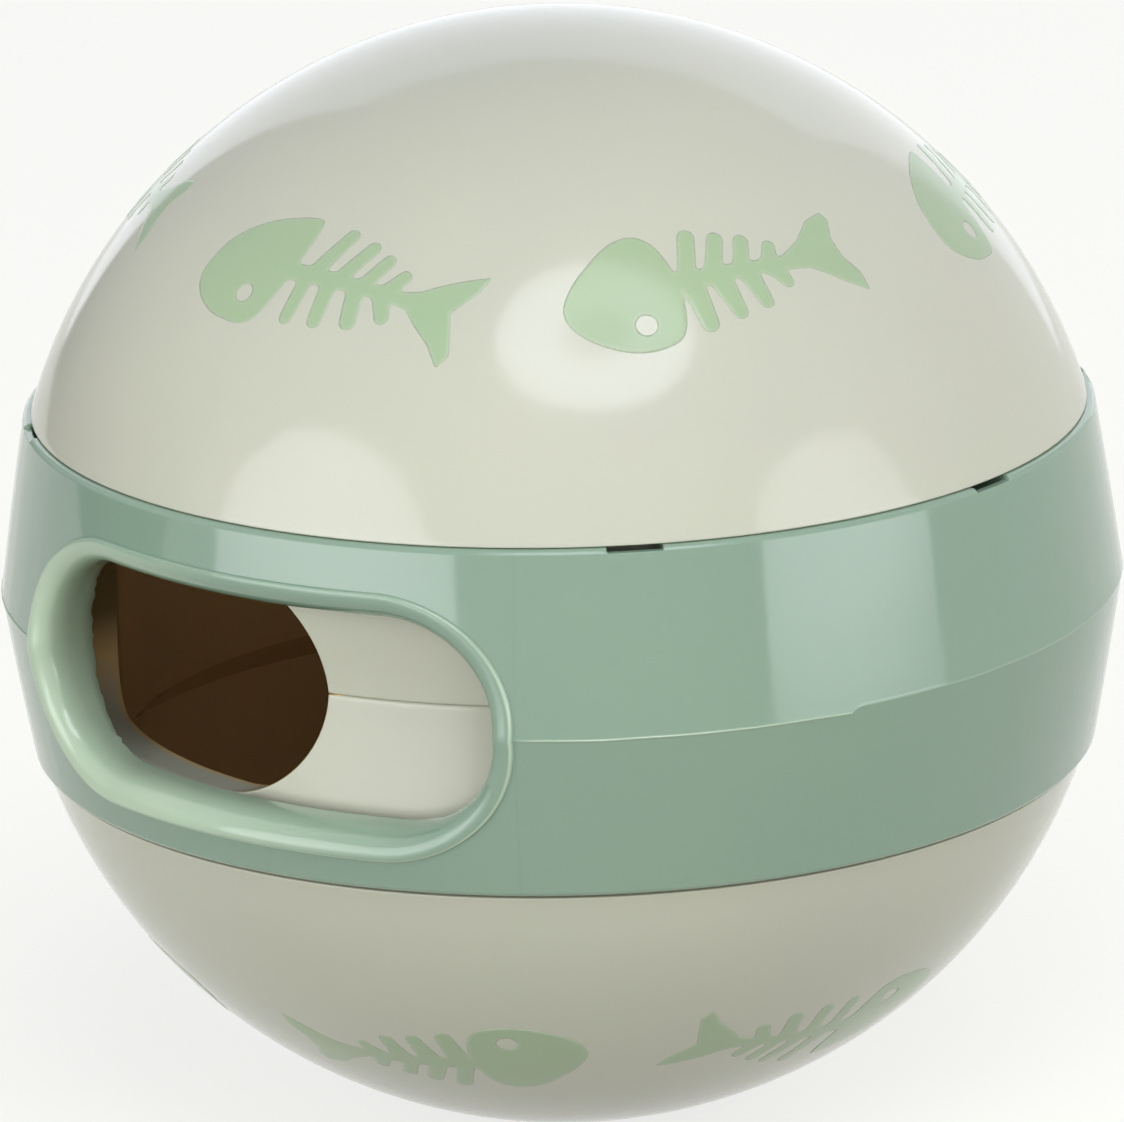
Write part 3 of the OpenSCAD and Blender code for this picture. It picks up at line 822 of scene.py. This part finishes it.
def clipped_triangles(fish):
    """Triangles of a grid inside the fish: each cell is two triangles, and one that straddles the outline
    keeps its inside corner or pair of corners, with new points where the distance is zero along its
    sides."""
    along = np.arange(-FISH_REACH[0], FISH_REACH[0] + CELL, CELL)
    up = np.arange(-FISH_REACH[1], FISH_REACH[1] + CELL, CELL)
    points = np.stack(np.meshgrid(along, up), axis=-1).reshape(-1, 2)
    distance = fish_distance(points, fish)
    cells = grid_faces(len(up), len(along), wrap=False)
    triangles = np.concatenate([cells[:, [0, 1, 2]], cells[:, [0, 2, 3]]])
    inside = distance[triangles] < 0
    corners_in = inside.sum(axis=1)

    def led_by(chosen, lead):
        order = (lead[:, None] + np.arange(3)) % 3
        return np.take_along_axis(chosen, order, axis=1)

    def crossing(p, q):
        share = (distance[p] / (distance[p] - distance[q]))[:, None]
        return points[p] + (points[q] - points[p]) * share

    one = led_by(triangles[corners_in == 1], inside[corners_in == 1].argmax(axis=1))
    two = led_by(triangles[corners_in == 2], (~inside[corners_in == 2]).argmax(axis=1))
    near, far = crossing(two[:, 0], two[:, 1]), crossing(two[:, 0], two[:, 2])
    return np.concatenate([
        points[triangles[corners_in == 3]],
        np.stack([points[one[:, 0]], crossing(one[:, 0], one[:, 1]), crossing(one[:, 0], one[:, 2])], axis=1),
        np.stack([near, points[two[:, 1]], points[two[:, 2]]], axis=1),
        np.stack([near, points[two[:, 2]], far], axis=1)])


# %% Lay the fish on the domes
FISH_PROUD = 0.02
FISH_EDGE = 0.25
FISH_BLUR = 0.35


def fish_sheet(fish, turn):
    """The fish's top face on the upper dome: the drawing is carried straight down on to the dome along
    the dome's own direction at the fish's middle, and stands a hair proud of it, with a rounded edge."""
    flat = clipped_triangles(fish).reshape(-1, 2)
    inset = -fish_distance(flat, fish)
    rise = FISH_PROUD * np.sqrt(1 - (1 - np.clip(inset / FISH_EDGE, 0, 1)) ** 2)
    a, e = math.radians(turn), math.radians(FISH_LATITUDE)
    right = np.array([math.cos(a), math.sin(a), 0])
    outward = np.array([math.sin(a) * math.cos(e), -math.cos(a) * math.cos(e), math.sin(e)])
    upward = np.cross(outward, right)
    height = np.sqrt(DOME_R ** 2 - (flat ** 2).sum(axis=1))
    points = flat[:, :1] * right + flat[:, 1:] * upward + height[:, None] * outward
    points *= (1 + rise / DOME_R)[:, None]
    points[:, 2] += DOME_LIFT
    faces = np.arange(len(points)).reshape(-1, 3)
    return points, faces, FISH_BLUR * (1 - np.clip(inset / FISH_EDGE, 0, 1))


def make_fish(name, part, body):
    """A fish piece: the sheet with the inlay's thickness added below it."""
    piece = make_piece(name + "_inlay", [part], pale_green)
    points = np.array([v.co for v in piece.data.vertices])
    normals = np.array([f.normal for f in piece.data.polygons])
    centres = np.array([f.center for f in piece.data.polygons])
    if np.sum(normals * centres) < 0:
        piece.data.flip_normals()
    solid = piece.modifiers.new("thickness", "SOLIDIFY")
    solid.thickness = INLAY_WALL * MM
    solid.offset = -1
    print(f"  {name} reaches {np.linalg.norm(points, axis=1).max() / MM:.2f} mm from the ball's centre")
    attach(piece, body)
    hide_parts(name)


for number in range(1, 2 * FISH_PAIRS + 1):
    rising = number % 2 == 1
    pair_turn = 360 / FISH_PAIRS * ((number - 1) // 2)
    fish, turn = (RISING_FISH, RISING_TURN) if rising else (DIVING_FISH, DIVING_TURN)
    sheet = fish_sheet(fish, turn + pair_turn)
    make_fish(f"upper_fish_{number}", sheet, "upper_shell")
    make_fish(f"lower_fish_{number}", turned_over(sheet), "lower_shell")

# %% [markdown]
# ## Camera
# The photograph was taken with a long lens from a little above the ball's middle. The view was found by
# fitting a camera to the ball's outline and to the circles of both shoulders.

# %% The camera
VIEW_TURN = 58.5
VIEW_RISE = 16.74
VIEW_DISTANCE = 559.1
VIEW_ROLL = -1.132
AIM_LIFT = 0.12
LENS = 285.4
SENSOR = 36


camera = bpy.data.objects.new("camera", bpy.data.cameras.new("camera"))
camera.data.lens = LENS
camera.data.sensor_width = SENSOR
camera.data.clip_start, camera.data.clip_end = 0.02, 20
a, e = math.radians(VIEW_TURN), math.radians(VIEW_RISE)
toward = Vector((math.sin(a) * math.cos(e), -math.cos(a) * math.cos(e), math.sin(e)))
aim = toward.to_track_quat("Z", "Y").to_matrix() @ Matrix.Rotation(math.radians(VIEW_ROLL), 3, "Z")
place_of_lens = toward * VIEW_DISTANCE * MM + Vector((0, 0, AIM_LIFT * MM))
camera.matrix_world = Matrix.Translation(place_of_lens) @ aim.to_4x4()
bpy.context.scene.collection.objects.link(camera)
bpy.context.scene.camera = camera
print("camera at", [round(x / MM, 1) for x in camera.location], "mm")

# %% [markdown]
# ## Lights, floor and background
# The reflections on the plastic say where the photographer's lights stood: a softbox low on each side of
# the camera, a round dish high in front, and a bright white sheet behind the ball, which whitens its
# outline all round. Each softbox is a sheet that glows, because a sheet can be brighter in its middle
# than at its ends. A few weak lamps fill the shadows, and gloss doesn't show them.

# %% Sheets that glow
LIGHT_DISTANCE = 700 * MM
LAMP_COLOUR = (0.99, 1.0, 1.015)


def direction(turn, rise):
    """Unit vectors at a turn from the camera's side, to its right, and a rise above the horizon, in
    degrees."""
    a, e = np.radians(turn) + math.radians(VIEW_TURN), np.radians(rise)
    return np.stack([np.sin(a) * np.cos(e), -np.cos(a) * np.cos(e), np.sin(e) + 0 * a], axis=-1)


def glowing_sheet(name, points, faces, glow, colour=LAMP_COLOUR):
    """A sheet that glows, from its points, its faces and a glow for each point, where 1 is as bright as
    white paper. It is hidden from the camera."""
    mesh = bpy.data.meshes.new(name)
    mesh.from_pydata((points * LIGHT_DISTANCE).tolist(), [], faces.tolist())
    mesh.attributes.new("glow", "FLOAT", "POINT").data.foreach_set("value", glow.astype(np.float32))
    material = bpy.data.materials.new(name)
    material.use_nodes = True
    tree = material.node_tree
    tree.nodes.clear()
    level = tree.nodes.new("ShaderNodeAttribute")
    level.attribute_name = "glow"
    lamp = add(tree, "ShaderNodeEmission", Color=colour, Strength=level.outputs["Fac"])
    add(tree, "ShaderNodeOutputMaterial", Surface=lamp.outputs["Emission"])
    mesh.materials.append(material)
    sheet = bpy.data.objects.new(name, mesh)
    sheet.visible_camera = False
    bpy.context.scene.collection.objects.link(sheet)
    print(f"{name}: glow {glow.min():.1f} to {glow.max():.1f}")
    return sheet


# %% Both softboxes, in rows from bottom to top: rise, turn of the left end, turn of the right end, glow
RIGHT_ROWS = [(-16, 42, 77, 1.2), (-9, 41, 79, 1.6), (-5, 41, 80, 2.1), (-3, 41, 80, 2.9),
              (-1, 41, 80, 3.4), (2, 41, 80, 3.8), (7, 41, 80, 3.4), (12, 41, 79, 2.8),
              (18, 41, 77, 2.7), (26, 47, 73, 2.7), (29, 56, 62, 2.4)]
LEFT_ROWS = [(-16, -74, -22, 1.6), (-8, -74, -21, 2.2), (-3, -74, -21, 3.3), (1, -74, -21, 4.1),
             (5, -75, -22, 3.9), (12, -75, -25, 3.4), (20, -75, -29, 3.2), (30, -68, -38, 3.2),
             (33, -60, -48, 3.0)]
SOFTBOX_FALL = 0.22


def softbox(name, rows):
    """A sheet with one row of points for each row of the list: nine turns from the left end to the right
    end. Its glow falls off towards both ends."""
    rise, left, right, glow = np.array(rows).T[:, :, None]
    share = np.linspace(0, 1, 9)
    turn = left + (right - left) * share
    points = direction(turn, rise + 0 * turn)
    glow = glow * (1 - SOFTBOX_FALL * (2 * share - 1) ** 2)
    glowing_sheet(name, points.reshape(-1, 3), grid_faces(*turn.shape, wrap=False), glow.ravel())


softbox("right_softbox", RIGHT_ROWS)
softbox("left_softbox", LEFT_ROWS)

# %% The dish, in rings from its middle out: share of its size, glow
DISH_TURN, DISH_RISE = 14, 60.5
DISH_SIZE = (19.5, 17)
DISH_RINGS = [(0, 2.2), (0.2, 2.2), (0.42, 4.1), (0.8, 4.0), (0.92, 3.5), (1, 1.6)]
DISH_COLOUR = (0.95, 1.0, 1.08)

middle = direction(DISH_TURN, DISH_RISE)
across = direction(DISH_TURN + 90, 0)
share, glow = np.array(DISH_RINGS).T[:, :, None]
spin = np.linspace(0, 2 * np.pi, 49)[:-1]
wide, high = (share * math.tan(math.radians(size)) for size in DISH_SIZE)
disc = (middle + (wide * np.sin(spin))[..., None] * across
        + (high * np.cos(spin))[..., None] * np.cross(middle, across))
glowing_sheet("high_dish", disc.reshape(-1, 3), grid_faces(len(share), len(spin), wrap=True),
              (glow + 0 * spin).ravel(), DISH_COLOUR)


# %% A grey flag to the left of the white sheet, darkest low down, which only gloss shows
FLAG_TURNS = (-154, -88)
FLAG_RISES = (-12, 0, 14, 30, 44)
FLAG_GLOWS = (0.35, 0.4, 0.7, 0.85, 0.95)

turn, rise = np.meshgrid(np.linspace(*FLAG_TURNS, 9), FLAG_RISES)
flag_points = direction(turn, rise).reshape(-1, 3)
flag = glowing_sheet("left_flag", flag_points, grid_faces(*turn.shape, wrap=False), np.repeat(FLAG_GLOWS, 9))
flag.visible_diffuse = False
flag.visible_shadow = False


# %% The sheet behind the ball and the fill lamps
def lamp_sheet(name, turn, rise, wide, high, glow, colour, in_gloss):
    """An area light in a direction from the ball, as wide and high as the angles it covers, that faces
    the ball. Its watts follow from its glow and its area."""
    light = bpy.data.lights.new(name, "AREA")
    light.shape = "RECTANGLE"
    light.color = colour
    light.size = 2 * LIGHT_DISTANCE * math.tan(math.radians(wide / 2))
    light.size_y = 2 * LIGHT_DISTANCE * math.tan(math.radians(high / 2))
    light.energy = glow * math.pi * light.size * light.size_y
    lamp = bpy.data.objects.new(name, light)
    where = Vector(direction(turn, rise))
    lamp.location = where * LIGHT_DISTANCE
    lamp.rotation_euler = where.to_track_quat("Z", "Y").to_euler()
    lamp.visible_glossy = in_gloss
    lamp.visible_camera = in_gloss
    bpy.context.scene.collection.objects.link(lamp)
    print(f"{name}: {light.energy:.2f} W")


lamp_sheet("back_sheet", 180, 16, 60, 49, 0.5, (0.9, 0.98, 1.12), True)
lamp_sheet("front_fill", 5, 15, 45, 45, 1.5, (1, 1, 1), False)
lamp_sheet("high_fill", 14, 60, 36, 36, 1.9, (0.93, 1.0, 1.12), False)
lamp_sheet("right_fill", 105, 20, 55, 55, 0.9, (1, 1, 1), False)

# %% World and floor
FLOOR_Z = -(DOME_R + DOME_LIFT)
TABLE_R = 340
TABLE_BACK = 235
SKY_LIGHT = 0.05
FLOOR_COLOUR = (0.25, 0.25, 0.195)
FLOOR_GLOW = 0.75


def seen_directly(tree):
    """1 for rays from the camera, from gloss and through clear things, and 0 for the light that falls on
    pieces."""
    path = tree.nodes.new("ShaderNodeLightPath").outputs
    seen = maths(tree, "MAXIMUM", path["Is Camera Ray"], path["Is Glossy Ray"])
    return maths(tree, "MAXIMUM", seen, path["Is Transmission Ray"])


world = bpy.data.worlds.new("studio")
world.use_nodes = True
bpy.context.scene.world = world
sky = world.node_tree
background = sky.nodes["Background"]
background.inputs["Color"].default_value = (1, 1, 1, 1)
level = add(sky, "ShaderNodeMapRange", Value=seen_directly(sky), To_Min=SKY_LIGHT, To_Max=1.0)
feed(sky, level.outputs["Result"], background.inputs["Strength"])

floor_mesh = bpy.data.meshes.new("floor")
rim_turn = np.linspace(0, 2 * np.pi, 97)[:-1]
table = place(rim_turn, TABLE_R, FLOOR_Z) - place(math.radians(VIEW_TURN), TABLE_BACK, 0)
floor_mesh.from_pydata((table * MM).tolist(), [], [list(range(len(table)))])
floor = bpy.data.objects.new("floor", floor_mesh)
bpy.context.scene.collection.objects.link(floor)
paper = bpy.data.materials.new("white_paper")
paper.use_nodes = True
tree = paper.node_tree
shader = tree.nodes["Principled BSDF"]
shader.inputs["Base Color"].default_value = (*FLOOR_COLOUR, 1)
shader.inputs["Roughness"].default_value = 0.9
shader.inputs["Emission Color"].default_value = (1, 1, 1, 1)
glow = add(tree, "ShaderNodeMapRange", Value=seen_directly(tree), To_Min=0.0, To_Max=FLOOR_GLOW)
feed(tree, glow.outputs["Result"], shader.inputs["Emission Strength"])
floor_mesh.materials.append(paper)
bpy.context.scene.view_settings.view_transform = "Standard"
print("floor at", round(FLOOR_Z, 2), "mm")
